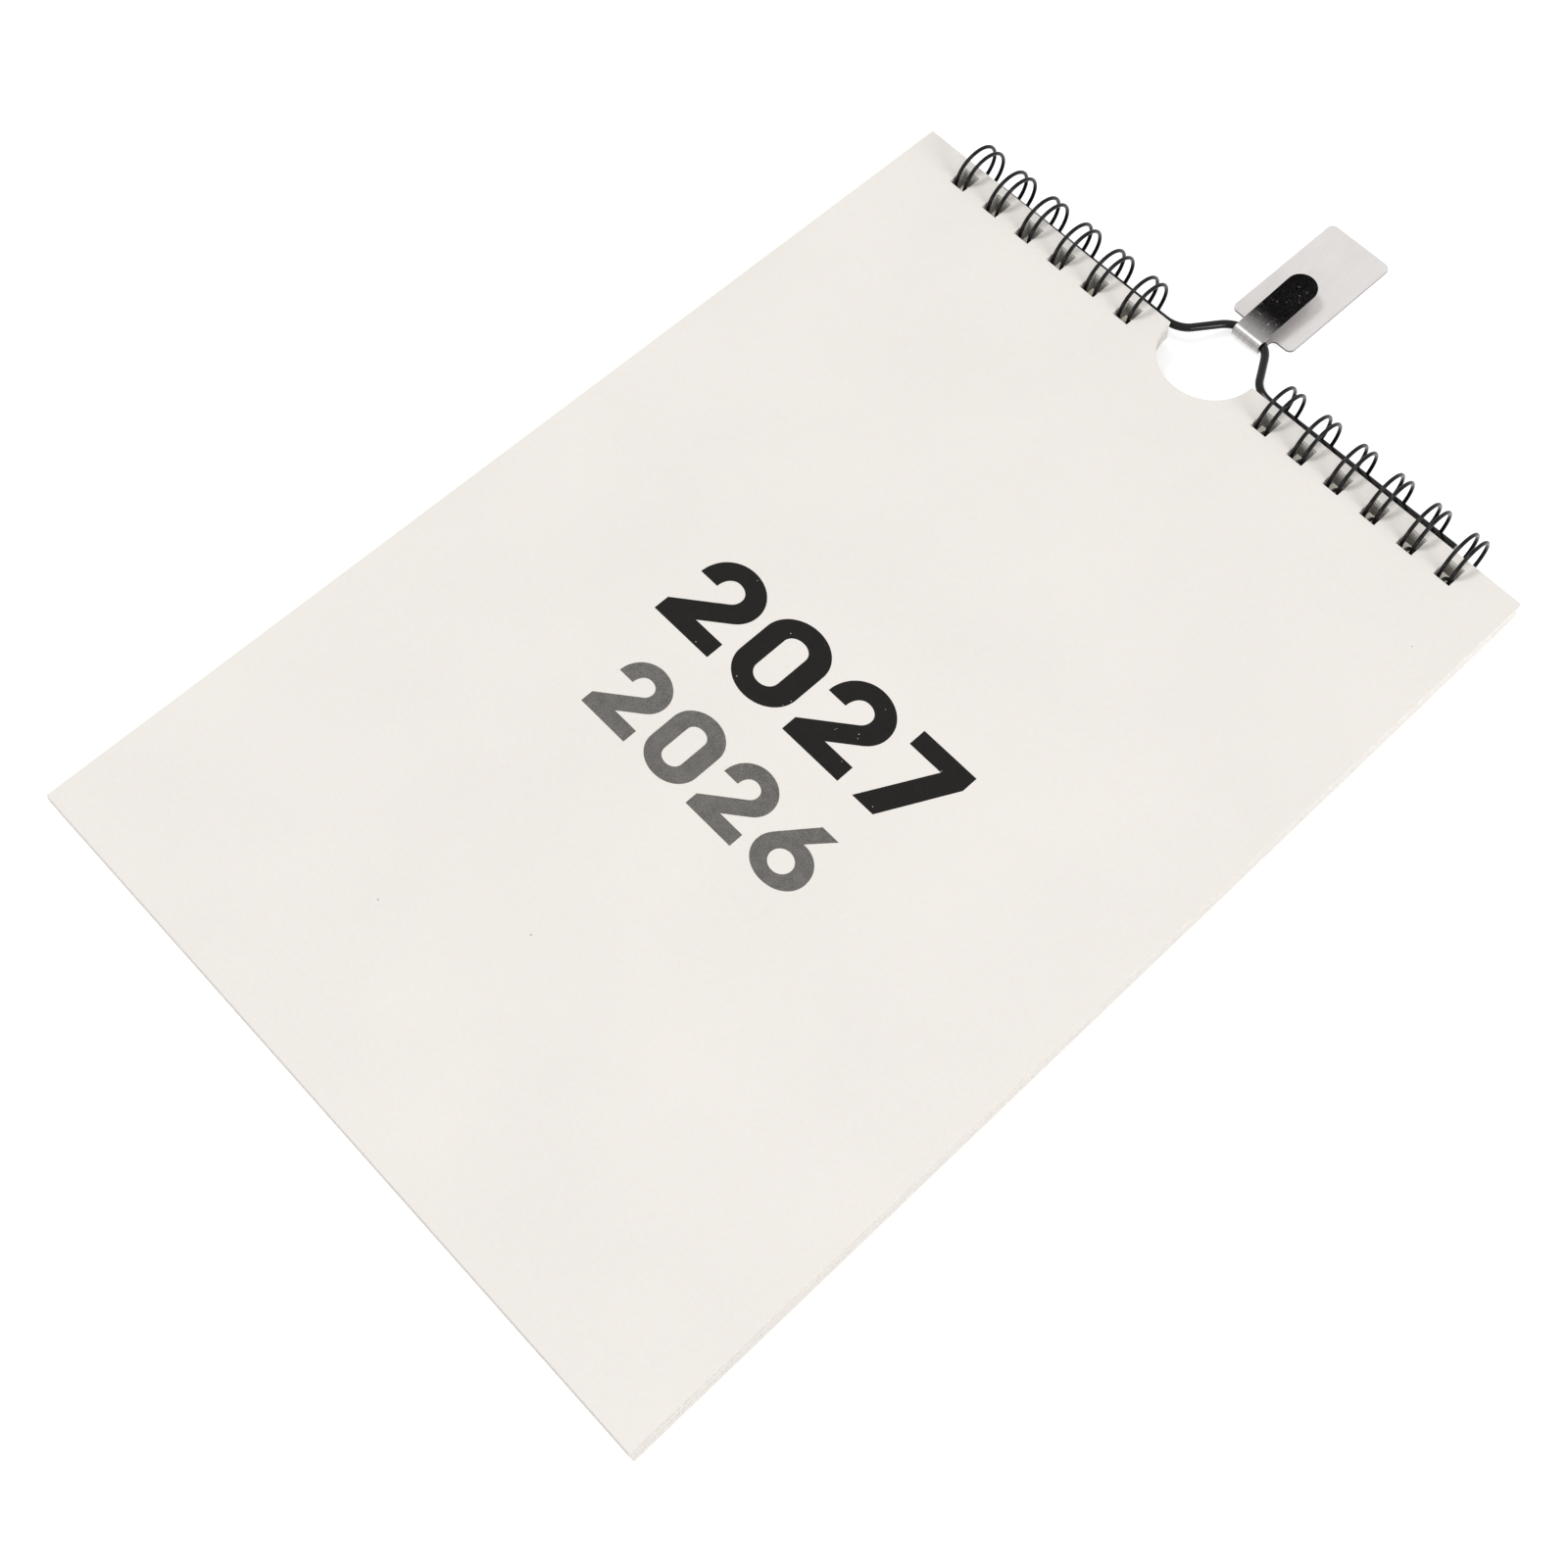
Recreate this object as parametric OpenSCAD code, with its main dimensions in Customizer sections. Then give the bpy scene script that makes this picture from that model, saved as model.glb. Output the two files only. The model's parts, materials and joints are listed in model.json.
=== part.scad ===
// Twin-loop bound wall calendar, lying on a table with its cover up.
// Millimetres. +X runs across the page, +Y towards the binding and the hook, +Z up out of the cover.
// The loops stand on z = 0 and every page turns about the axis of the loops, which runs along X.

/* [Sheets] */
// Width of a page
page_w = 215.9; // [190:0.1:300]
// Height of a page
page_h = 304.8; // [200:0.1:420]
// Number of month leaves between the cover and the back board
leaf_count = 24; // [12:1:24]
// Thickness of a month leaf
leaf_t = 0.2; // [0.12:0.01:0.22]
// Thickness of the front cover
cover_t = 0.3; // [0.2:0.05:0.5]
// Thickness of the back board
board_t = 0.8; // [0.5:0.05:1]
// Air between one sheet and the next
sheet_gap = 0.045; // [0.03:0.005:0.06]
// How far the lower edges fan out sideways from the cover to the back board
fan = 0.7; // [0:0.1:4]
// Radius of the thumb cut in the top edge
thumb_r = 15; // [13:0.5:20]

/* [Binding holes] */
// Distance from one hole to the next
pitch = 12.7; // [12:0.1:13.5]
// Holes on each side of the thumb cut
holes_per_side = 6; // [4:1:6]
// Pitches from the middle of the page to the innermost hole
inner_pitches = 2; // [2:1:3]
// Width of a hole along the edge
hole_w = 5.4; // [5:0.1:6]
// Height of a hole across the edge
hole_h = 6.6; // [6.2:0.1:7.2]
// Paper left between a hole and the top edge
hole_edge = 2.8; // [2.4:0.1:2.9]
// Where the wire crosses a hole, as a share of its height from the top
hole_seat = 0.7; // [0.6:0.01:0.75]

/* [Binding wire] */
// Diameter of a loop, measured at the middle of the wire
loop_d = 15.8; // [15.4:0.1:18]
// Diameter of the binding wire
wire_d = 1.1; // [0.9:0.05:1.2]
// Distance between the two wires of a loop
pair_gap = 3.4; // [2.8:0.1:3.6]
// Bend radius where a loop meets the spine
spine_bend = 1; // [0.8:0.1:1.4]
// Length of the cut spine left at each end
spine_stub = 1.5; // [0.5:0.1:3]
// Angle below the page at which the closed end of a loop starts
tip_angle = 68; // [67:0.5:70]
// Angle round from the page, over the top, at which a loop meets the spine
spine_angle = 255; // [250:0.5:257]
// Distance from the loop axis down to the underside of the back board
stack_drop = 4.6; // [4.3:0.05:4.8]
// Least distance from the loop axis to the top edge of a leaf
top_gap = 0.2; // [0.1:0.05:0.3]

/* [Hanger] */
// Diameter of the hanger wire
hanger_d = 2.4; // [1.8:0.1:2.6]
// Distance from the middle to the cut end of each hanger arm
hanger_reach = 84; // [60:0.5:86]
// Height of the bump above the arms
bump_h = 15.9; // [14:0.1:19]
// Radius of the top of the bump
bump_r = 9.5; // [6:0.5:10]
// Radius of the bend from an arm into the bump
bump_fillet = 8; // [4:0.5:9]
// Slope of the bump's legs
bump_slope = 60; // [54:1:70]
// Clearance between the hanger and the loops that hold it
loop_clear = 0.3; // [0.2:0.05:0.4]
// Clearance between the hanger and a cover turned right over
turn_clear = 0.2; // [0.15:0.05:0.3]
// Angle at which the hanger lies askew in the loops
hanger_skew = 0.6; // [0:0.1:0.8]

/* [Hook] */
// Width of the hook's plate
plate_w = 22; // [16:0.1:24]
// Height of the hook's plate
plate_h = 43.5; // [30:0.5:60]
// Corner radius of the plate
plate_r = 2; // [1:0.1:4]
// Thickness of the hook's sheet metal
metal_t = 0.6; // [0.4:0.1:0.7]
// Width of the hook's strip
strip_w = 9.4; // [6:0.1:10]
// Length of the strip from the middle of its bend to its round end
strip_len = 26; // [18:0.1:28]
// Angle at which the strip stands away from the plate
strip_flare = 4; // [0:0.5:4]
// Length of the flat tongue between the plate and the bend
tongue_len = 5.3; // [4:0.1:10]
// Radius of the fillets at the root of the tongue
root_r = 1.6; // [0.8:0.1:2.4]
// Clearance between the hanger and the strip over it
strip_clear = 0.3; // [0.3:0.05:0.5]
// Clearance between the hanger and the tongue under it
tongue_clear = 0.15; // [0.1:0.05:0.3]
// Slack between the hanger and the inside of the bend
hook_slack = 2.1; // [1:0.1:4]
// Thickness of the adhesive pad behind the plate
pad_t = 0.3; // [0.2:0.05:0.4]
// How far the pad stays inside the plate's outline
pad_inset = 0.8; // [0.4:0.1:2]

/* [Hidden] */
// Facets of a round wire and of a round corner
$fn = 48;
wire_fn = 24;
// Step along the thumb cut, in degrees
thumb_step = 7.5;
// A bend runs this far into the straights that it joins, and is this much thinner than they are
lap = 0.05;
lap_step = 0.01;

loop_r = loop_d / 2;
wire_r = wire_d / 2;
hanger_r = hanger_d / 2;
finger_x = [for (k = [0:holes_per_side - 1]) (inner_pitches + k) * pitch];

// The loops stand on their lowest point: the round, a closed end or the spine
tip_drop = loop_r * sin(tip_angle) + pair_gap / 2 * cos(tip_angle);
spine_drop = -loop_r * sin(spine_angle) - spine_bend * cos(spine_angle);
axis_z = max(loop_r, tip_drop, spine_drop) + wire_r;

// Heights of the sheets, measured from the loop axis
board_low = -stack_drop;
leaf_step = leaf_t + sheet_gap;
leaves_low = board_low + board_t + sheet_gap;
cover_low = leaves_low + leaf_count * leaf_step;
cover_face = cover_low + cover_t;
function leaf_low(i) = leaves_low + (leaf_count - i) * leaf_step;

// The hanger lies askew in the loops, just under a turned cover, and its end towards +X touches them
hanger_seat = loop_r - wire_r - loop_clear - hanger_r;
hanger_drop = cover_face + turn_clear + hanger_r;
hanger_y = sqrt(hanger_seat * hanger_seat - hanger_drop * hanger_drop) - hanger_reach * tan(hanger_skew);
hanger_z = axis_z - hanger_drop;

// Distance of a sheet's top edge below the loop axis, with the wire seated in the holes
function wire_reach(h) = sqrt(loop_r * loop_r - h * h);
function top_of(h) = max(top_gap, wire_reach(h) - hole_edge - hole_seat * hole_h);
board_top = top_of(board_low + board_t / 2);
cover_top = top_of(cover_low + cover_t / 2);

// The stack dips from the loops to the table, where the back board's lower edge rests
board_end = board_top + page_h;
rest_dip = asin(axis_z / norm([board_end, board_low])) - atan2(-board_low, board_end);

// Sideways lean of a sheet by its place in the stack, from the cover (0) to the back board (1)
function lean(place) = fan * (place - 0.5);

// Outline of the hanger's bump, in the hanger's own plane
leg_rise = bump_h - (bump_r + bump_fillet) * (1 - cos(bump_slope));
leg_len = leg_rise / sin(bump_slope);
bump_base = (bump_r + bump_fillet) * sin(bump_slope) + leg_len * cos(bump_slope);

// The hook lies flat on the table, and the bump of the hanger dips into its bend
metal_z = pad_t;
bump_z = metal_z + metal_t + tongue_clear + hanger_r;
bump_dip = asin((hanger_z - bump_z) / bump_h);
bump_y = hanger_y + bump_h * cos(bump_dip);
edge_rise = (bump_r - sqrt(bump_r * bump_r - strip_w * strip_w / 4)) * sin(bump_dip);
strip_low = bump_z + edge_rise + hanger_r + strip_clear;
bend_in = (strip_low - metal_z - metal_t) / 2;
bend_z = metal_z + metal_t + bend_in;
bend_y = bump_y - hanger_r - hook_slack + bend_in;
plate_low_y = bend_y + tongue_len;
plate_end_y = plate_low_y + plate_h;

// The loop axis is placed so that the whole calendar is centred on the origin
cover_end_y = -(cover_top + page_h) * cos(rest_dip);
axis_y = -(cover_end_y + plate_end_y) / 2;

paper_colour = "#efece7";
board_colour = "#d9d3c8";
wire_colour = "#1c1b1b";
steel_colour = "#c9c6c5";
pad_colour = "#f4f2ec";

function leaf_name(i) = str("leaf_", i < 10 ? "0" : "", i);

// Points on the closed end of a loop and on the spine beside it, in the loop's own plane and along X
function loop_point(x, a, along) = [x, -loop_r * cos(a) + along * sin(a), loop_r * sin(a) + along * cos(a)];
tip_points = [for (b = [0:10:180]) loop_point(-pair_gap / 2 * cos(b), -tip_angle, -pair_gap / 2 * sin(b))];
spine_points = [for (x = [-pitch:0.2:pitch]) loop_point(x, spine_angle, spine_bend)];
seam_gap = min([for (p = tip_points) min([for (q = spine_points) norm(p - q)])]) - wire_d;
echo(str("Least gap of the binding wire to itself: ", min(seam_gap, pair_gap - wire_d), " mm"));

// Moves a shape drawn about the loop axis to its place
module at_axis() {
    translate([0, axis_y, axis_z]) children();
}

// Outline of a sheet, with its top edge on y = 0
module sheet_outline(side) {
    difference() {
        polygon(concat(
            [[-page_w / 2, 0]],
            [for (a = [180:thumb_step:360]) thumb_r * [cos(a), sin(a)]],
            [[page_w / 2, 0], [page_w / 2 + side, -page_h], [side - page_w / 2, -page_h]]
        ));
        for (x = finger_x, way = [-1, 1])
            translate([way * x - hole_w / 2, -hole_edge - hole_h])
                square([hole_w, hole_h]);
    }
}

// A sheet hung on the loops: top edge, height from the axis, thickness and sideways lean
module sheet(top, low, t, side) {
    at_axis() rotate([rest_dip, 0, 0]) translate([0, -top, low])
        linear_extrude(t) sheet_outline(side);
}

module front_cover() {
    color(paper_colour) sheet(cover_top, cover_low, cover_t, lean(0));
}

module leaf(i) {
    low = leaf_low(i);
    color(paper_colour) sheet(top_of(low + leaf_t / 2), low, leaf_t, lean(i / (leaf_count + 1)));
}

module back_board() {
    color(board_colour) sheet(board_top, board_low, board_t, lean(1));
}

// Round wire bent about the Z axis, from angle a on
module bent_wire(r, d, a, turn) {
    rotate([0, 0, a]) rotate_extrude(angle = turn, $fn = 96)
        translate([r, 0]) circle(d = d, $fn = wire_fn);
}

// A bend between two stretches of wire of diameter d, lapped into both
module bend(r, d, a, turn) {
    lap_turn = lap / r * 180 / PI;
    bent_wire(r, d - lap_step, a - lap_turn, turn + 2 * lap_turn);
}

// Straight wire along Z
module straight_wire(d, run) {
    cylinder(d = d, h = run, $fn = wire_fn);
}

// Places a shape on a loop at angle a: X radial, Y along the wire, Z across the page towards -X
module on_loop(x, a) {
    translate([x, 0, 0]) rotate([90, 0, -90]) rotate([0, 0, a]) translate([loop_r, 0, 0]) children();
}

// One round of a loop, from its closed end to the spine
module loop_round(x) {
    translate([x, 0, 0]) rotate([90, 0, -90])
        bent_wire(loop_r, wire_d, -tip_angle, tip_angle + spine_angle);
}

// The closed end that joins the two wires of a loop
module loop_tip(x) {
    on_loop(x, -tip_angle) rotate([180, -90, 0]) bend(pair_gap / 2, wire_d, 0, 180);
}

// Bend from the wire at x into the spine. way: 1 to +X, -1 to -X
module spine_turn(x, way) {
    on_loop(x + way * spine_bend, spine_angle) rotate([0, 90, 0])
        bend(spine_bend, wire_d, way > 0 ? 90 : 0, 90);
}

// Straight run of spine between two places across the page
module spine_run(from, to) {
    on_loop(to, spine_angle) translate([0, spine_bend, 0]) straight_wire(wire_d, to - from);
}

// The binding wire of one side: loops and spine, one unbroken wire
module twin_loop(centres) {
    out = pair_gap / 2;
    turn_out = out + spine_bend;
    last = len(centres) - 1;
    at_axis() {
        for (x = centres) {
            loop_round(x - out);
            loop_round(x + out);
            loop_tip(x);
            spine_turn(x - out, -1);
            spine_turn(x + out, 1);
        }
        for (k = [1:last])
            spine_run(centres[k - 1] + turn_out, centres[k] - turn_out);
        spine_run(centres[0] - turn_out - spine_stub, centres[0] - turn_out);
        spine_run(centres[last] + turn_out, centres[last] + turn_out + spine_stub);
    }
}

module twin_loop_left() {
    color(wire_colour) twin_loop([for (k = [holes_per_side - 1:-1:0]) -finger_x[k]]);
}

module twin_loop_right() {
    color(wire_colour) twin_loop(finger_x);
}

// Arm, bend and leg of the hanger on the +X side
module hanger_side() {
    translate([bump_base, 0, 0]) rotate([0, 90, 0]) straight_wire(hanger_d, hanger_reach - bump_base);
    translate([bump_base, bump_fillet, 0]) bend(bump_fillet, hanger_d, 270 - bump_slope, bump_slope);
    translate([0, bump_h - bump_r, 0]) rotate([0, 0, 90 - bump_slope]) translate([bump_r, 0, 0])
        rotate([90, 0, 0]) straight_wire(hanger_d, leg_len);
}

module hanger_wire() {
    color(wire_colour) translate([0, axis_y + hanger_y, hanger_z]) rotate([-bump_dip, 0, hanger_skew]) {
        hanger_side();
        mirror([1, 0, 0]) hanger_side();
        translate([0, bump_h - bump_r, 0]) bend(bump_r, hanger_d, 90 - bump_slope, 2 * bump_slope);
    }
}

// Rectangle with round corners, from y = 0 up
module round_rect(w, h, r) {
    translate([-w / 2 + r, 0]) square([w - 2 * r, h]);
    translate([-w / 2, r]) square([w, h - 2 * r]);
    for (x = [r - w / 2, w / 2 - r], y = [r, h - r])
        translate([x, y]) circle(r = r);
}

// The hook before bending: plate, tongue and the fillets between them
module hook_blank() {
    translate([0, tongue_len]) round_rect(plate_w, plate_h, plate_r);
    translate([-strip_w / 2, 0]) square([strip_w, tongue_len + plate_r]);
    difference() {
        translate([-strip_w / 2 - root_r, tongue_len - root_r])
            square([strip_w + 2 * root_r, root_r + plate_r]);
        for (way = [-1, 1])
            translate([way * (strip_w / 2 + root_r), tongue_len - root_r]) circle(r = root_r);
    }
}

// The strip above the bend, with its round end
module hook_strip() {
    straight = strip_len - strip_w / 2;
    translate([-strip_w / 2, 0]) square([strip_w, straight]);
    translate([0, straight]) circle(d = strip_w);
}

// The bend from the tongue up into the strip, lapped into both
module hook_bend() {
    lap_turn = lap / bend_in * 180 / PI;
    rotate([180, 90, 0]) rotate([0, 0, -lap_turn])
        rotate_extrude(angle = 180 - strip_flare + 2 * lap_turn, $fn = 96)
            translate([bend_in + lap_step / 2, (lap_step - strip_w) / 2])
                square([metal_t - lap_step, strip_w - lap_step]);
}

module wall_hook() {
    color(steel_colour) translate([0, axis_y + bend_y, 0]) {
        translate([0, 0, metal_z]) linear_extrude(metal_t) hook_blank();
        translate([0, 0, bend_z]) {
            hook_bend();
            rotate([strip_flare, 0, 0]) translate([0, 0, bend_in]) linear_extrude(metal_t) hook_strip();
        }
    }
}

module adhesive_pad() {
    color(pad_colour) translate([0, axis_y + plate_low_y + pad_inset, 0]) linear_extrude(pad_t)
        round_rect(plate_w - 2 * pad_inset, plate_h - 2 * pad_inset, plate_r);
}

front_cover();
for (i = [1:leaf_count])
    leaf(i);
back_board();
twin_loop_left();
twin_loop_right();
hanger_wire();
wall_hook();
adhesive_pad();
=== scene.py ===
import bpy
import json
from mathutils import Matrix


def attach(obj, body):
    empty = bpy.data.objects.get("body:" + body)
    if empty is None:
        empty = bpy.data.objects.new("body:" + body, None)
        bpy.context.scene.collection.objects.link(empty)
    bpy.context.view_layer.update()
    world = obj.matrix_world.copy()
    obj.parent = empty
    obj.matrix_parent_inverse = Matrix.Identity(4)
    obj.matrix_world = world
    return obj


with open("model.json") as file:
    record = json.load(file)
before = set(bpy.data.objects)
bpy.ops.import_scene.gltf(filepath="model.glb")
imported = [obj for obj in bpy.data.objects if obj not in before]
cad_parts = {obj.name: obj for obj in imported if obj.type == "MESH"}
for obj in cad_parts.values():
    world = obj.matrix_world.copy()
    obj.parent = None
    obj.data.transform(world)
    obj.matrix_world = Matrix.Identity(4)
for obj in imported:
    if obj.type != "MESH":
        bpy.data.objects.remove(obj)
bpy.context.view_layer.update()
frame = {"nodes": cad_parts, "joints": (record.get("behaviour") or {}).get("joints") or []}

import calendar
import json
import math

import bmesh
import bpy
from mathutils import Matrix, Vector

for left_over in ("Cube", "Light", "Camera"):
    if left_over in bpy.data.objects:
        bpy.data.objects.remove(bpy.data.objects[left_over], do_unlink=True)

MM = 0.001
SCENE = bpy.context.scene
SCENE.view_settings.view_transform = "Standard"

# Sizes and places on the calendar are in millimetres. Its sheets turn about the axis of the loops, and dip
# from there to the table
cover_joint = next(joint for joint in frame["joints"] if joint["name"] == "front_cover_turn")
AXIS_Y = cover_joint["pos_m"][1] / MM
AXIS_Z = cover_joint["pos_m"][2] / MM
DIP = math.radians(0.734902)

# The stack of sheets, measured square to them from the plane through that axis
SHEET_GAP = 0.045
BOARD_LOW = -4.6
BOARD_T = 0.8
LEAF_COUNT = 24
LEAF_T = 0.2
LEAF_STEP = LEAF_T + SHEET_GAP
LEAVES_LOW = BOARD_LOW + BOARD_T + SHEET_GAP
COVER_T = 0.3
COVER_LOW = LEAVES_LOW + LEAF_COUNT * LEAF_STEP
COVER_FACE = COVER_LOW + COVER_T
# How far the top edges lie from the axis
COVER_TOP = 0.2
LEAF_TOP = 0.3

# The hook: its plate over the table, the height at which its strip leaves the plate, and the stretch from
# the bend in which the strip turns from satin to polished, past the axis
PLATE_BACK = 0.3
PLATE_FACE = 0.9
STRIP_RISE = (1.2, 2.6)
STRIP_POLISH = (14.5, 26.0)

# How deep the faces of a sheet go before its cut edges start
EDGE_SKIN = 0.015

# Ink on the sheets: half its thickness, and the gap that keeps it off the paper's own face
COVER_INK = 0.010
PAGE_INK = 0.007
INK_LIFT = 0.001
# Points of the numerals that are closer than this become one, in metres
WELD = 1e-7

# A month leaf: the grid of days, the line that the month and the year stand on, and the size of the figures
FIRST_YEAR = 2026
DAY_W = 26.6
DAY_H = 33.5
GRID_LEFT = -93.1
GRID_TOP = -88.0
RULE_W = 0.4
WEEKS = 6
WEEKDAYS = 7
FIRST_WEEKDAY = 6
DAY_INSET_X = 2.4
DAY_INSET_Y = 8.6
HEAD_LINE = -70.0
YEAR_LEFT = 62.0
DAY_SIZE = 8.0
MONTH_SIZE = 34.0
YEAR_SIZE = 14.0

# The studio, in metres: the floor under the row of holes gets painted warm shade, from the thumb cut to the
# outer holes and from the page to just past the loops
FLOOR_SIZE = 14.0
FLOOR_DROP = 0.0002
HOLES_INNER = (0.017, 0.021)
HOLES_OUTER = (0.104, 0.098)
HOLES_NEAR = (0.088, 0.096)
HOLES_FAR = (0.1265, 0.121)
SKY_LIGHT = 0.49
BLACK = (0.0, 0.0, 0.0, 1.0)
WHITE = (1.0, 1.0, 1.0, 1.0)

# Sockets of a Mix node that mixes colours
MIX_FACTOR = 0
MIX_FIRST = 6
MIX_SECOND = 7
MIX_RESULT = 2


class Value:
    """A socket of a node tree. Sums on it add Math nodes."""

    def __init__(self, nodes, socket):
        self.nodes = nodes
        self.socket = socket

    def maths(self, operation, *terms):
        return self.nodes.node("ShaderNodeMath", {"operation": operation}, dict(enumerate(terms)))

    def __add__(self, other):
        return self.maths("ADD", self, other)

    def __radd__(self, other):
        return self.maths("ADD", other, self)

    def __sub__(self, other):
        return self.maths("SUBTRACT", self, other)

    def __rsub__(self, other):
        return self.maths("SUBTRACT", other, self)

    def __mul__(self, other):
        return self.maths("MULTIPLY", self, other)

    def __gt__(self, other):
        return self.maths("GREATER_THAN", self, other)

    def __lt__(self, other):
        return self.maths("LESS_THAN", self, other)

    def __abs__(self):
        return self.maths("ABSOLUTE", self)

    def remainder(self, step):
        return self.maths("FLOORED_MODULO", self, step)

    def larger(self, other):
        return self.maths("MAXIMUM", self, other)

    def sine(self):
        return self.maths("SINE", self)

    def ramp(self, low, high):
        """From 0 to 1, gently at both ends, as the value goes from low to high."""
        sockets = {"Value": self, "From Min": low, "From Max": high}
        return self.nodes.node("ShaderNodeMapRange", {"interpolation_type": "SMOOTHSTEP"}, sockets)

    def slope(self, low, high):
        """From 0 to 1 along a straight line as the value goes from low to high."""
        return self.nodes.node("ShaderNodeMapRange", {}, {"Value": self, "From Min": low, "From Max": high})


class Nodes:
    """A node tree, with one method that makes any node."""

    def __init__(self, tree):
        self.tree = tree

    def node(self, kind, settings=None, sockets=None, output=0):
        made = self.tree.nodes.new(kind)
        for name, value in (settings or {}).items():
            setattr(made, name, value)
        for name, value in (sockets or {}).items():
            self.feed(made.inputs[name], value)
        return Value(self, made.outputs[output])

    def feed(self, socket, value):
        if isinstance(value, Value):
            self.tree.links.new(value.socket, socket)
        else:
            socket.default_value = value

    def seen_directly(self):
        """1 for rays from the camera, from gloss and through glass."""
        camera_ray = self.node("ShaderNodeLightPath", {}, {}, "Is Camera Ray")
        glossy_ray = self.node("ShaderNodeLightPath", {}, {}, "Is Glossy Ray")
        clear_ray = self.node("ShaderNodeLightPath", {}, {}, "Is Transmission Ray")
        return camera_ray.larger(glossy_ray).larger(clear_ray)


class Finish(Nodes):
    """A material on Object coordinates, which are metres in the calendar's frame."""

    def __init__(self, name):
        self.material = bpy.data.materials.new(name)
        self.material.use_nodes = True
        super().__init__(self.material.node_tree)
        self.shader = self.tree.nodes["Principled BSDF"]
        self.place = self.node("ShaderNodeTexCoord", {}, {}, "Object")

    def set(self, **sockets):
        for name, value in sockets.items():
            self.feed(self.shader.inputs[name.replace("_", " ")], value)

    def along(self, axis):
        return self.node("ShaderNodeSeparateXYZ", {}, {"Vector": self.place}, axis)

    def above_sheet_axis(self):
        """Height over the plane through the loop axis that the sheets lie along."""
        up = self.along("Z") - AXIS_Z * MM
        back = self.along("Y") - AXIS_Y * MM
        return up * math.cos(DIP) - back * math.sin(DIP)

    def mix(self, factor, first, second):
        sockets = {MIX_FACTOR: factor, MIX_FIRST: first, MIX_SECOND: second}
        return self.node("ShaderNodeMix", {"data_type": "RGBA"}, sockets, MIX_RESULT)

    def noise(self, scale, detail=2.0, roughness=0.5, place=None):
        sockets = {"Vector": place or self.place, "Scale": scale, "Detail": detail, "Roughness": roughness}
        return self.node("ShaderNodeTexNoise", {}, sockets, "Fac")

    def streaks(self, stretch, detail, roughness):
        """Noise with its own scale along each axis."""
        place = self.node("ShaderNodeMapping", {}, {"Vector": self.place, "Scale": stretch})
        return self.noise(1.0, detail, roughness, place)

    def cells(self, scale, output):
        sockets = {"Vector": self.place, "Scale": scale}
        return self.node("ShaderNodeTexVoronoi", {"feature": "F1"}, sockets, output)

    def specks(self, scale, size, share):
        """1 on small round specks, in a share of the cells of a scatter."""
        chance = self.node("ShaderNodeSeparateColor", {}, {"Color": self.cells(scale, "Color")}, "Red")
        return (self.cells(scale, "Distance") < size) * (chance < share)

    def bump(self, height, strength, distance):
        sockets = {"Strength": strength, "Distance": distance, "Height": height}
        return self.node("ShaderNodeBump", {}, sockets, "Normal")


def srgb(red, green, blue):
    """A colour read off as 0 to 255, as the linear numbers that a socket takes."""
    linear = []
    for part in (red, green, blue):
        part = part / 255
        linear.append(part / 12.92 if part <= 0.04045 else ((part + 0.055) / 1.055) ** 2.4)
    return (*linear, 1)


def paper(name, face, edge, mottle, speck_share, lowest, thick, step):
    """Uncoated stock: clouds, fibres, tooth and a few specks, and lines of painted shade on its cut edges,
    for the gaps between sheets.

    The cut edges are found by height: sheets as thick as given, one for each step up from the lowest.
    """
    finish = Finish(name)
    clouds = finish.noise(scale=22.0, detail=3.0)
    fibres = finish.streaks((700.0, 1500.0, 900.0), detail=3.0, roughness=0.6)
    tooth = finish.noise(scale=2600.0)

    height = finish.above_sheet_axis()
    depth = (height - lowest * MM).remainder(step * MM)
    cut = (depth > EDGE_SKIN * MM) * (depth < (thick - EDGE_SKIN) * MM)
    drift_sockets = {"W": height, "Scale": 1400.0}
    drift = finish.node("ShaderNodeTexNoise", {"noise_dimensions": "1D"}, drift_sockets, "Fac")
    waves_up = 4800
    wander = 5
    # Painted shade: lines in the edge colour on the cut edges stand in for the shade in the gaps between
    # sheets.
    painted_gap_shade = (height * waves_up + drift * wander).sine().ramp(0.35, 0.85)

    tone = (clouds + fibres - 1) * mottle + 0.5 + cut * 0.5
    clouded = 0.955
    shaded_face = [part * clouded for part in face]
    colour = finish.mix(tone.ramp(0.0, 1.0), srgb(*shaded_face), srgb(*face))
    colour = finish.mix(cut * painted_gap_shade, colour, srgb(*edge))
    specks = finish.specks(scale=55.0, size=0.011, share=speck_share)
    finish.set(
        Base_Color=finish.mix(specks, colour, srgb(150, 143, 132)),
        Roughness=0.78 + (fibres - 0.5) * 0.2,
        Specular_IOR_Level=0.25,
        Normal=finish.bump(fibres * 0.6 + tooth * 0.4, strength=0.12, distance=0.00006),
    )
    return finish.material


def ink(name, colour, worn, wear, pinhole_share):
    """Printed ink that has taken unevenly on the paper's tooth, with pale pinholes."""
    finish = Finish(name)
    cloud = finish.noise(scale=320.0, detail=4.0, roughness=0.65)
    grain = finish.noise(scale=2800.0, detail=3.0, roughness=0.7)
    patchy = (cloud * 0.25 + grain * 0.75).ramp(0.34, 0.66)
    shade = finish.mix(patchy * wear, srgb(*colour), srgb(*worn))
    pinholes = finish.specks(scale=420.0, size=0.055, share=pinhole_share)
    finish.set(
        Base_Color=finish.mix(pinholes, shade, srgb(214, 210, 204)),
        Roughness=0.7 + (grain - 0.5) * 0.25,
        Specular_IOR_Level=0.12,
        Normal=finish.bump(grain, strength=0.15, distance=0.00004),
    )
    return finish.material


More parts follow.
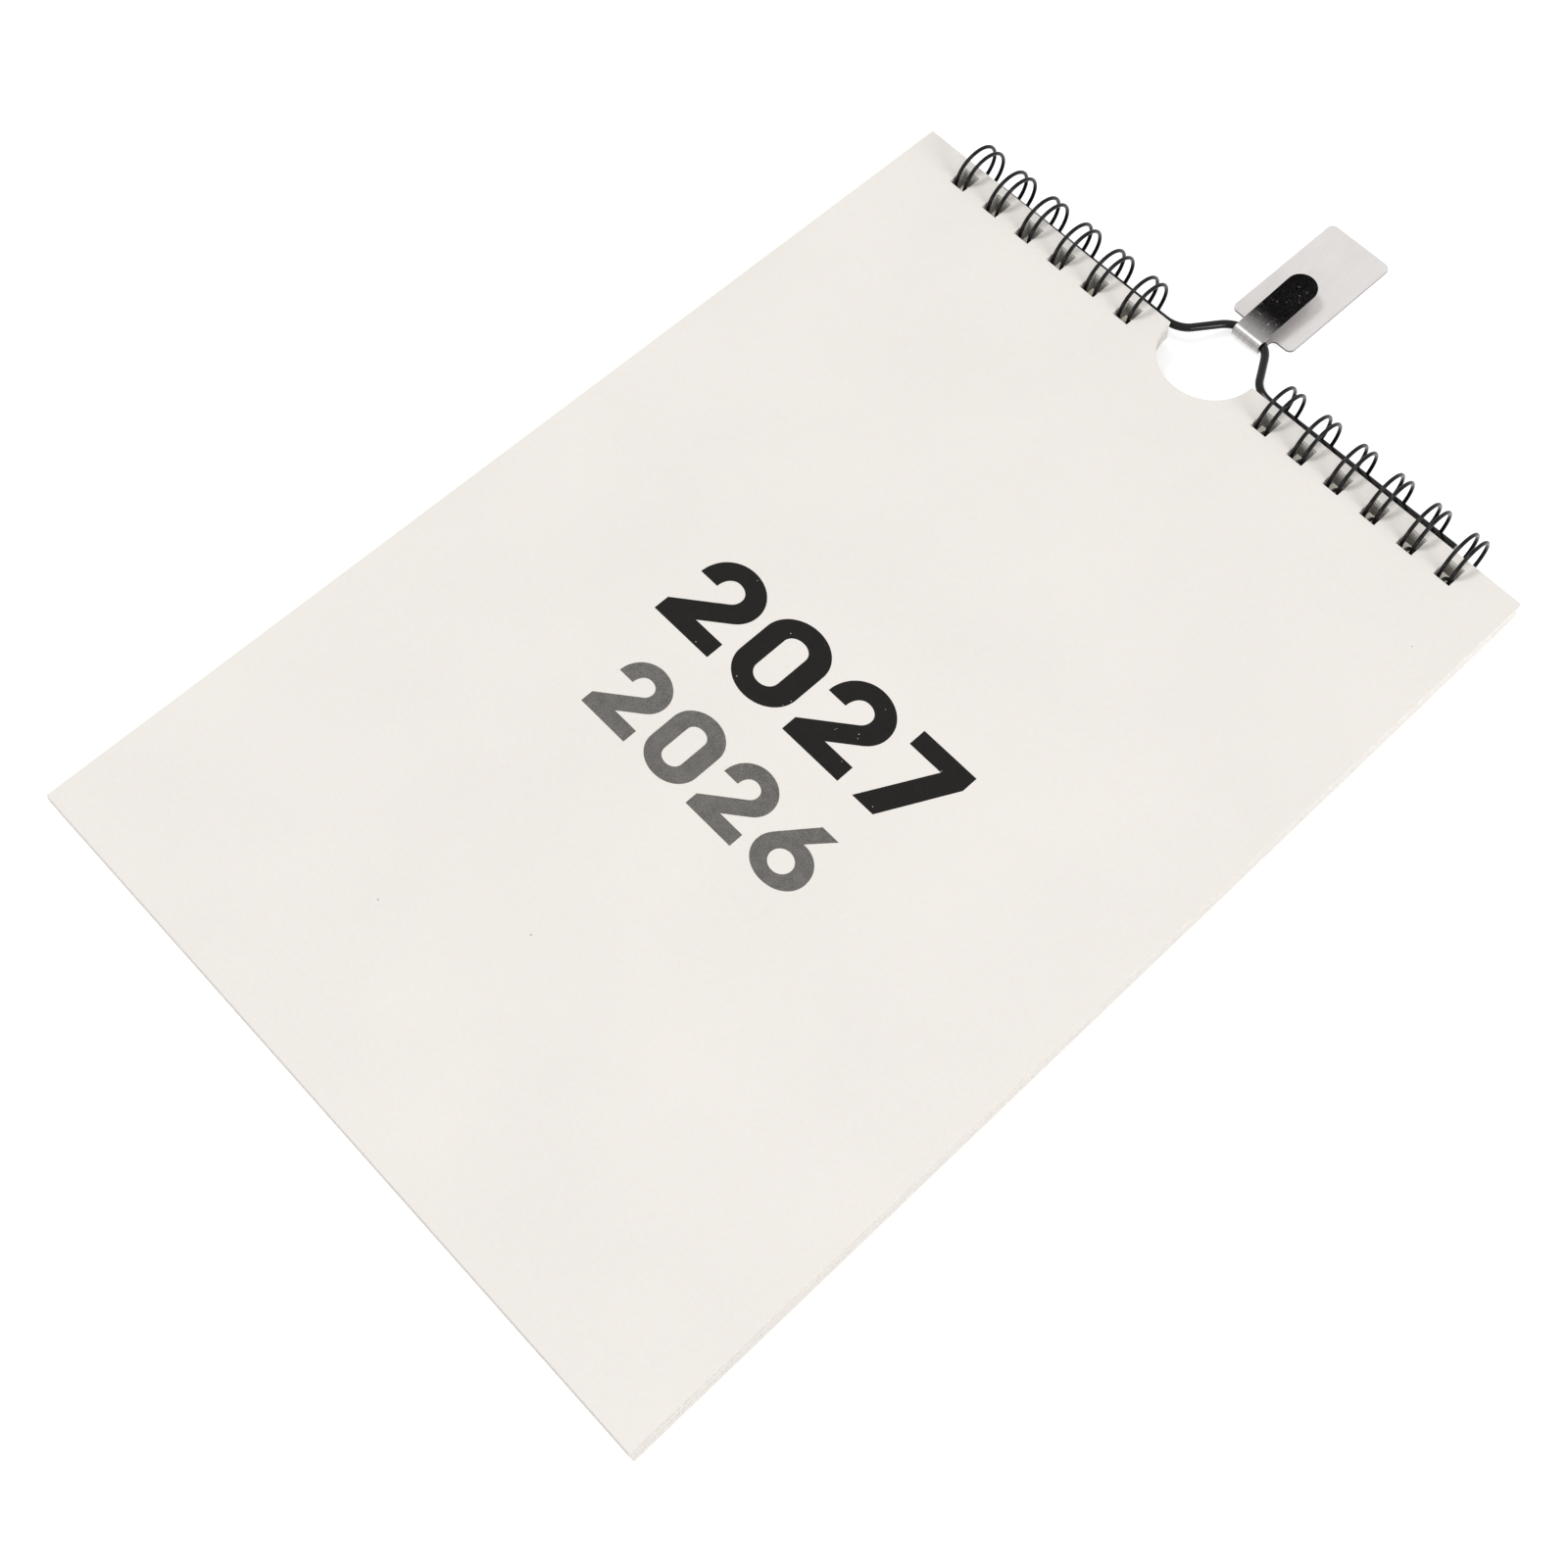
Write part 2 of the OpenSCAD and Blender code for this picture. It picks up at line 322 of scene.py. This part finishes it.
def enamel(name, colour, roughness, shine):
    """Black coating on round wire, with faint flow marks and scuffs."""
    finish = Finish(name)
    flow = finish.noise(scale=600.0, detail=3.0)
    scuffs = finish.streaks((2600.0, 700.0, 700.0), detail=4.0, roughness=0.7)
    rubbed = scuffs.ramp(0.62, 0.8)
    finish.set(
        Base_Color=finish.mix(rubbed * 0.5, srgb(*colour), srgb(44, 42, 41)),
        Roughness=roughness + rubbed * 0.25 + (flow - 0.5) * 0.1,
        Specular_IOR_Level=shine,
        Normal=finish.bump(flow * 0.5 + scuffs * 0.5, strength=0.08, distance=0.00004),
    )
    return finish.material


def brushed_steel():
    """Hook sheet: a satin plate, cut edges painted dark as a painted reflection, and a strip that is
    polished towards its end, darker by the bend as painted shade.
    """
    finish = Finish("brushed_steel")
    lines = finish.streaks((6500.0, 110.0, 110.0), detail=3.0, roughness=0.6)
    scratch = finish.streaks((900.0, 2600.0, 900.0), detail=2.0, roughness=0.4)
    broad = finish.noise(scale=90.0, detail=3.0)
    up = finish.along("Z")

    raised = up.ramp(STRIP_RISE[0] * MM, STRIP_RISE[1] * MM)
    ragged = 0.009
    rubbed = finish.along("Y") + (lines - 0.5) * ragged
    polish = raised * rubbed.slope((AXIS_Y + STRIP_POLISH[0]) * MM, (AXIS_Y + STRIP_POLISH[1]) * MM)
    scored = raised * scratch.ramp(0.7, 0.76)
    # Painted reflection: the cut edges take a dark base colour in place of the dark lines they mirror.
    cut = (up > (PLATE_BACK + EDGE_SKIN) * MM) * (up < (PLATE_FACE - EDGE_SKIN) * MM)

    marks = (lines - 0.5) * 0.6 + (broad - 0.5) * 0.2 + 0.5
    satin = finish.mix(marks.ramp(0.2, 0.8), srgb(214, 210, 208), srgb(232, 228, 226))
    # Painted shade: the unpolished strip by the bend is darker than the plate to hold down its highlight;
    # the marks in it are brushing.
    strip = finish.mix(marks.ramp(0.3, 0.7), srgb(136, 133, 132), srgb(198, 195, 195))
    colour = finish.mix(raised, satin, finish.mix(polish, strip, srgb(172, 168, 167)))
    finish.set(
        Base_Color=finish.mix(cut, colour, srgb(84, 81, 80)),
        Metallic=1 - (1 - raised) * 0.55,
        Roughness=0.44 - polish * 0.34 + scored * 0.25 + (lines - 0.5) * 0.12,
        Normal=finish.bump(lines, strength=0.08, distance=0.00003),
    )
    return finish.material


def adhesive_foam():
    """Closed-cell pad behind the plate."""
    finish = Finish("adhesive_foam")
    cells = finish.cells(3200.0, "Distance")
    finish.set(
        Base_Color=finish.mix(cells, srgb(247, 245, 240), srgb(226, 223, 215)),
        Roughness=0.7 + cells * 0.2,
        Normal=finish.bump(cells, strength=0.25, distance=0.00008),
    )
    return finish.material


def dress(material, *nodes):
    """Gives CAD nodes their finish."""
    for name in nodes:
        for slot in frame["nodes"][name].material_slots:
            slot.material = material


def leaf_name(number):
    return "leaf_%02d" % number


def dress_calendar():
    cover_card = paper(
        "cover_card",
        face=(244, 239, 233),
        edge=(196, 190, 181),
        mottle=0.5,
        speck_share=0.4,
        lowest=COVER_LOW,
        thick=COVER_T,
        step=2 * COVER_T,
    )
    leaf_paper = paper(
        "leaf_paper",
        face=(247, 243, 238),
        edge=(190, 182, 172),
        mottle=0.4,
        speck_share=0.05,
        lowest=LEAVES_LOW,
        thick=LEAF_T,
        step=LEAF_STEP,
    )
    back_board = paper(
        "back_board",
        face=(238, 233, 224),
        edge=(214, 206, 192),
        mottle=0.9,
        speck_share=0.3,
        lowest=BOARD_LOW,
        thick=BOARD_T,
        step=2 * BOARD_T,
    )
    binding_enamel = enamel("binding_enamel", (20, 19, 19), roughness=0.2, shine=0.16)
    hanger_enamel = enamel("hanger_enamel", (14, 13, 13), roughness=0.1, shine=0.26)
    dress(cover_card, "front_cover")
    dress(leaf_paper, *[leaf_name(number) for number in range(1, LEAF_COUNT + 1)])
    dress(back_board, "back_board")
    dress(binding_enamel, "twin_loop_left", "twin_loop_right")
    dress(hanger_enamel, "hanger_wire")
    dress(brushed_steel(), "wall_hook")
    dress(adhesive_foam(), "adhesive_pad")


def in_sheet(top, face):
    """Matrix from millimetres on a sheet, from the middle of its top edge, to the frame in metres."""
    turn = Matrix.Translation((0, AXIS_Y, AXIS_Z)) @ Matrix.Rotation(DIP, 4, "X")
    return Matrix.Scale(MM, 4) @ turn @ Matrix.Translation((0, -top, face))


def add_object(name, shape, material):
    """Makes a bmesh an object of the scene, at the origin."""
    mesh = bpy.data.meshes.new(name)
    shape.to_mesh(mesh)
    shape.free()
    mesh.materials.append(material)
    made = bpy.data.objects.new(name, mesh)
    SCENE.collection.objects.link(made)
    return made


def finished_piece(name, shape, material, body):
    """Makes a bmesh a piece that moves with a body."""
    bmesh.ops.recalc_face_normals(shape, faces=shape.faces)
    made = add_object(name, shape, material)
    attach(made, body)


# Numerals drawn in millimetres, 25 mm high. Each outline is a start, then lines to a point or
# curves given by two handles and a point
NUMERALS = {
    "2": [
        [
            (0, 0), (20, 0), (20, 5.27), (10, 5.27), (17.2, 10.96),
            ((19.3, 12.6), (20.4, 14.6), (20.4, 17.1)), ((20.4, 21.8), (15.9, 25.6), (10.3, 25.6)),
            ((4.6, 25.6), (0.2, 21.3), (0.2, 15.87)), (6.35, 15.87),
            ((6.35, 18.5), (7.9, 20.47), (10.2, 20.47)), ((12.4, 20.47), (14.07, 19.2), (14.07, 17.4)),
            ((14.07, 16.2), (13.6, 15.25), (12.6, 14.47)), (0, 4.6),
        ],
    ],
    "0": [
        [
            (0, 7.9), ((0, 3.2), (4.6, -0.5), (10.33, -0.5)), ((16.1, -0.5), (20.67, 3.2), (20.67, 7.9)),
            (20.67, 17.3), ((20.67, 21.9), (16.1, 25.6), (10.33, 25.6)), ((4.6, 25.6), (0, 21.9), (0, 17.3)),
        ],
        [
            (6.2, 7.9), (6.2, 17.3), ((6.2, 19.1), (7.9, 20.4), (10.13, 20.4)),
            ((12.4, 20.4), (14.07, 19.1), (14.07, 17.3)), (14.07, 7.9),
            ((14.07, 6.0), (12.4, 4.6), (10.13, 4.6)), ((7.9, 4.6), (6.2, 6.0), (6.2, 7.9)),
        ],
    ],
    "7": [
        [(0, 25.27), (0, 20.07), (11, 20.07), (0.2, 0), (7.53, 0), (18.33, 20.47), (18.33, 25.27)],
    ],
    "6": [
        [
            (11.25, 24.75), (2.1, 13.25), ((0.8, 11.6), (0, 9.9), (0, 7.8)),
            ((0, 2.9), (4.7, -0.75), (10.7, -0.75)), ((16.7, -0.75), (21.4, 2.9), (21.4, 7.8)),
            ((21.4, 12.9), (17.3, 16.9), (11.4, 16.6)), (18.33, 24.75),
        ],
        [
            (6.17, 7.83), ((6.17, 10.1), (8.2, 11.83), (10.67, 11.83)),
            ((13.1, 11.83), (15.17, 10.1), (15.17, 7.83)),
            ((15.17, 5.6), (13.1, 3.83), (10.67, 3.83)), ((8.2, 3.83), (6.17, 5.6), (6.17, 7.83)),
        ],
    ],
}


def add_outline(curve, steps):
    """A closed outline in a flat curve. Its last step may be a curve that ends at its start."""
    is_curve = [len(step) == 3 for step in steps]
    ends = [step[2] if curved else step for step, curved in zip(steps, is_curve)]
    ends_at_start = ends[-1] == ends[0]
    spline = curve.splines.new("BEZIER")
    spline.use_cyclic_u = True
    spline.bezier_points.add(len(steps) - (2 if ends_at_start else 1))
    points = spline.bezier_points
    for point, end in zip(points, ends):
        point.handle_left_type = point.handle_right_type = "FREE"
        point.co = point.handle_left = point.handle_right = (*end, 0)
    for number, step in enumerate(steps):
        if is_curve[number]:
            points[number - 1].handle_right = (*step[0], 0)
            points[number % len(points)].handle_left = (*step[1], 0)


def flat_mesh(curve):
    """The mesh of a flat curve or of text."""
    holder = bpy.data.objects.new("outline", curve)
    SCENE.collection.objects.link(holder)
    bpy.context.view_layer.update()
    shown = holder.evaluated_get(bpy.context.evaluated_depsgraph_get())
    mesh = bpy.data.meshes.new_from_object(shown)
    bpy.data.objects.remove(holder)
    return mesh


def numeral_mesh(digit):
    curve = bpy.data.curves.new("numeral", "CURVE")
    curve.dimensions = "2D"
    curve.fill_mode = "BOTH"
    curve.resolution_u = 16
    curve.extrude = COVER_INK
    for steps in NUMERALS[digit]:
        add_outline(curve, steps)
    return flat_mesh(curve)


def text_mesh(words, size):
    text = bpy.data.curves.new("figures", "FONT")
    text.body = words
    text.size = size
    text.resolution_u = 4
    text.extrude = PAGE_INK
    return flat_mesh(text)


def stamp(shape, mesh, place):
    """Adds a mesh to a bmesh, at a place given by a matrix."""
    start = len(shape.verts)
    shape.from_mesh(mesh)
    shape.verts.ensure_lookup_table()
    bmesh.ops.transform(shape, matrix=place, verts=shape.verts[start:])


def year_print(name, digits, lefts, base, size, material):
    """A row of numerals printed on the cover."""
    row = bmesh.new()
    for digit, left in zip(digits, lefts):
        spot = Matrix.Translation((left, base, COVER_INK + INK_LIFT)) @ Matrix.Diagonal((size, size, 1, 1))
        stamp(row, numeral_mesh(digit), spot)
    bmesh.ops.transform(row, matrix=in_sheet(COVER_TOP, COVER_FACE), verts=row.verts)
    bmesh.ops.remove_doubles(row, verts=row.verts, dist=WELD)
    finished_piece(name, row, material, "front_cover")


def month_print(number, figures, material):
    """The print on a month leaf: month and year in figures, a grid and the days."""
    years_on, month_index = divmod(number - 1, 12)
    year = FIRST_YEAR + years_on
    month = month_index + 1
    ink_level = PAGE_INK + INK_LIFT
    page = bmesh.new()

    def print_at(words, x, y):
        stamp(page, figures[words], Matrix.Translation((x, y, ink_level)))

    def rule(x, y, width, height):
        made = bmesh.ops.create_cube(page, size=1)["verts"]
        bmesh.ops.scale(page, vec=(width, height, 2 * PAGE_INK), verts=made)
        bmesh.ops.translate(page, vec=(x, y, ink_level), verts=made)

    print_at("month %d" % month, GRID_LEFT, HEAD_LINE)
    print_at("year %d" % year, YEAR_LEFT, HEAD_LINE)
    for line in range(WEEKS + 1):
        rule(0, GRID_TOP - line * DAY_H, WEEKDAYS * DAY_W + RULE_W, RULE_W)
    for line in range(WEEKDAYS + 1):
        rule(GRID_LEFT + line * DAY_W, GRID_TOP - WEEKS / 2 * DAY_H, RULE_W, WEEKS * DAY_H + RULE_W)
    for week, days in enumerate(calendar.Calendar(FIRST_WEEKDAY).monthdayscalendar(year, month)):
        for column, day in enumerate(days):
            if day:
                left = GRID_LEFT + column * DAY_W + DAY_INSET_X
                print_at("day %d" % day, left, GRID_TOP - week * DAY_H - DAY_INSET_Y)
    face = LEAVES_LOW + (LEAF_COUNT - number) * LEAF_STEP + LEAF_T
    bmesh.ops.transform(page, matrix=in_sheet(LEAF_TOP, face), verts=page.verts)
    finished_piece("month_print_%02d" % number, page, material, leaf_name(number))


def print_calendar():
    black_ink = ink("black_ink", (24, 23, 22), worn=(36, 34, 33), wear=0.8, pinhole_share=0.5)
    grey_ink = ink("grey_ink", (90, 88, 85), worn=(126, 123, 119), wear=1.0, pinhole_share=0.0)
    page_ink = ink("page_ink", (58, 56, 54), worn=(78, 76, 73), wear=0.8, pinhole_share=0.3)
    next_year_lefts = (-45.2, -21.35, 2.65, 27.7)
    this_year_lefts = (-37.9, -18.5, 1.2, 20.3)
    year_print("year_print_next", "2027", next_year_lefts, base=-162.15, size=1.0, material=black_ink)
    year_print("year_print_this", "2026", this_year_lefts, base=-193.15, size=0.8, material=grey_ink)

    figures = {"day %d" % day: text_mesh(str(day), DAY_SIZE) for day in range(1, 32)}
    figures.update({"month %d" % month: text_mesh(str(month), MONTH_SIZE) for month in range(1, 13)})
    for year in (FIRST_YEAR, FIRST_YEAR + 1):
        figures["year %d" % year] = text_mesh(str(year), YEAR_SIZE)
    for number in range(1, LEAF_COUNT + 1):
        month_print(number, figures, page_ink)


def stage_card(name, centre, facing, width, height, material):
    """A flat card of the studio, square to a direction."""
    card = bmesh.new()
    bmesh.ops.create_grid(card, x_segments=1, y_segments=1, size=0.5)
    turn = Vector(facing).to_track_quat("Z", "Y").to_matrix().to_4x4()
    place = Matrix.Translation(centre) @ turn @ Matrix.Diagonal((width, height, 1, 1))
    bmesh.ops.transform(card, matrix=place, verts=card.verts)
    made = add_object(name, card, material)
    return made


def floor():
    """White floor that keeps the calendar's soft shadow, with painted warm shade under the row of holes."""
    finish = Finish("studio_floor")
    grain = finish.noise(scale=6.0)
    across = abs(finish.along("X"))
    along = finish.along("Y")
    # Painted shade: under the row of holes the floor's glow is a darker warm grey, so the holes look shaded
    # inside.
    painted_shade_under_holes = across.ramp(*HOLES_INNER) * across.ramp(*HOLES_OUTER)
    painted_shade_under_holes = painted_shade_under_holes * along.ramp(*HOLES_NEAR) * along.ramp(*HOLES_FAR)
    glow_and_painted_shade = finish.mix(painted_shade_under_holes, srgb(213, 213, 213), srgb(133, 130, 118))
    finish.set(
        Base_Color=finish.mix(grain, srgb(212, 212, 212), srgb(216, 216, 216)),
        Roughness=0.9,
        Specular_IOR_Level=0.0,
        Emission_Color=finish.mix(finish.seen_directly(), BLACK, glow_and_painted_shade),
        Emission_Strength=1.0,
    )
    stage_card("floor", (0, 0, -FLOOR_DROP), (0, 0, 1), FLOOR_SIZE, FLOOR_SIZE, finish.material)


def flag():
    """Dark card that the polished strip mirrors."""
    finish = Finish("studio_flag")
    finish.set(Base_Color=(0.004, 0.004, 0.004, 1), Roughness=1.0, Specular_IOR_Level=0.0)
    strip = Vector((0, 0.150, 0.005))
    way = Vector((-0.301, 0.433, 0.850))
    distance = 0.45
    card = stage_card("flag", strip + way * distance, way, 0.10, 0.12, finish.material)
    card.visible_camera = False
    card.visible_diffuse = False
    card.visible_shadow = False
    card.visible_transmission = False


def lamp(name, place, width, height, power):
    """A soft lamp that faces the calendar."""
    data = bpy.data.lights.new(name, "AREA")
    data.shape = "ELLIPSE"
    data.size = width
    data.size_y = height
    data.energy = power
    made = bpy.data.objects.new(name, data)
    SCENE.collection.objects.link(made)
    made.location = place
    made.rotation_euler = Vector(place).to_track_quat("Z", "Y").to_euler()


def sky():
    """White where it is seen, and softer as a light."""
    world = bpy.data.worlds.new("studio")
    SCENE.world = world
    world.use_nodes = True
    nodes = Nodes(world.node_tree)
    seen = nodes.seen_directly()
    background = world.node_tree.nodes["Background"]
    nodes.feed(background.inputs["Color"], WHITE)
    nodes.feed(background.inputs["Strength"], seen + (1 - seen) * SKY_LIGHT)


def camera():
    """The photograph's view."""
    data = bpy.data.cameras.new("camera")
    data.sensor_width = 36
    data.lens = 54.046
    data.shift_x = data.shift_y = -0.06
    data.clip_end = 20
    made = bpy.data.objects.new("camera", data)
    SCENE.collection.objects.link(made)
    made.location = (0.20303, -0.21994, 0.53252)
    made.rotation_euler = [math.radians(angle) for angle in (27.973, -1.290, 45.945)]
    SCENE.camera = made


dress_calendar()
print_calendar()
floor()
flag()
sky()
lamp("key", (-1.30, -0.10, 2.45), width=0.9, height=0.9, power=27.5)
lamp("side_fill", (2.05, 0.15, 0.60), width=1.4, height=0.8, power=29.0)
lamp("front_fill", (0.20, -2.30, 0.45), width=1.4, height=0.7, power=12.0)
camera()
